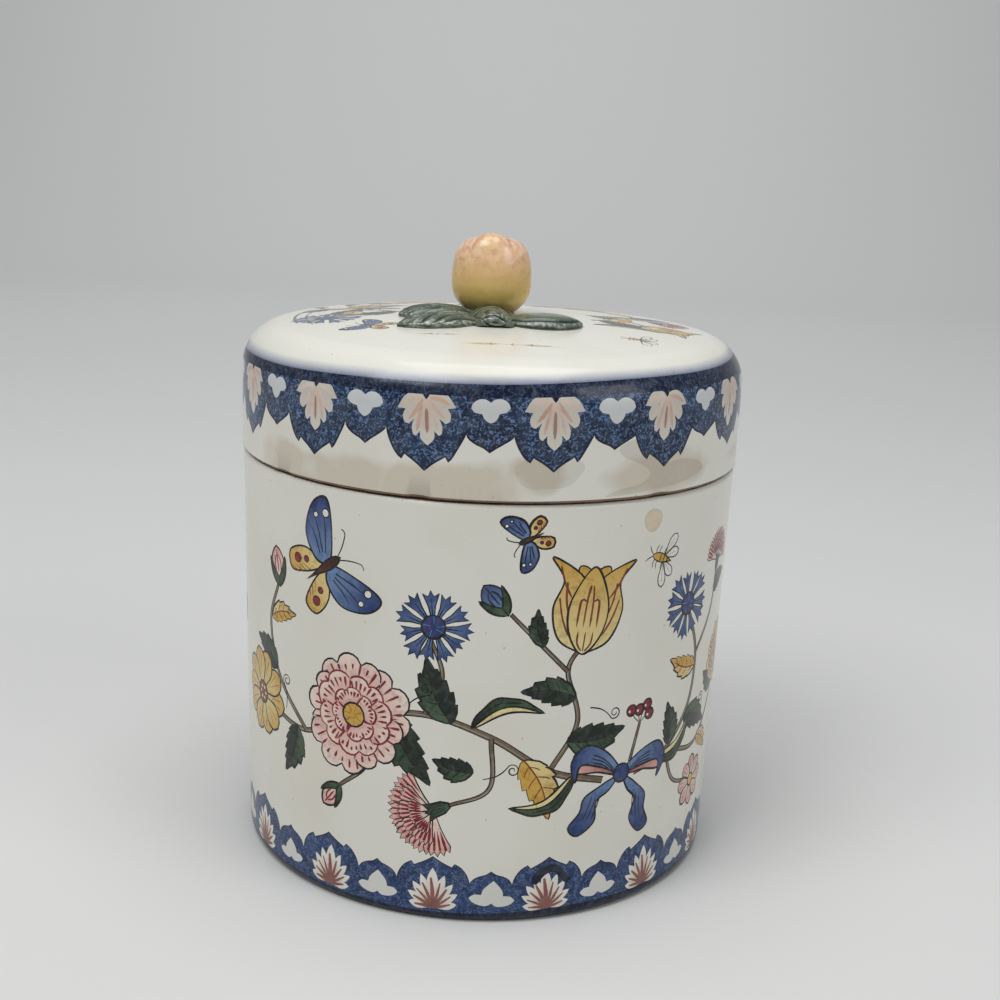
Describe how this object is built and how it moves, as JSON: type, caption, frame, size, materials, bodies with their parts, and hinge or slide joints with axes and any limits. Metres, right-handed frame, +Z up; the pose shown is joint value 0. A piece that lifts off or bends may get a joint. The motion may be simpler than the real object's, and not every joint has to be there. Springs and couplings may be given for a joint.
{
  "type": "lidded canister",
  "caption": "Round glazed earthenware canister with a lift-off cap lid and a moulded fruit knob lying on leaves",
  "frame": {"origin": "on the canister's axis, in the plane it stands on", "axes": "+Z up along the canister's axis; -Y towards the twig's cut end, +X to the right when seen from -Y"},
  "size_m": [0.1608, 0.1608, 0.1998],
  "materials": {
    "white_glaze": "gloss",
    "fruit_glaze": "gloss",
    "leaf_glaze": "gloss"
  },
  "bodies": {
    "jar": {"jar": "white_glaze"},
    "lid": {"lid": "white_glaze", "fruit_knob": "fruit_glaze", "twig": "leaf_glaze", "leaf_left_front": "leaf_glaze", "leaf_left_rear": "leaf_glaze", "leaf_right": "leaf_glaze"}
  },
  "joints": [
    {"name": "lid_lift", "type": "slide", "parent": "jar", "child": "lid", "axis": [0, 0, 1], "range_m": [0, 0.1]}
  ]
}
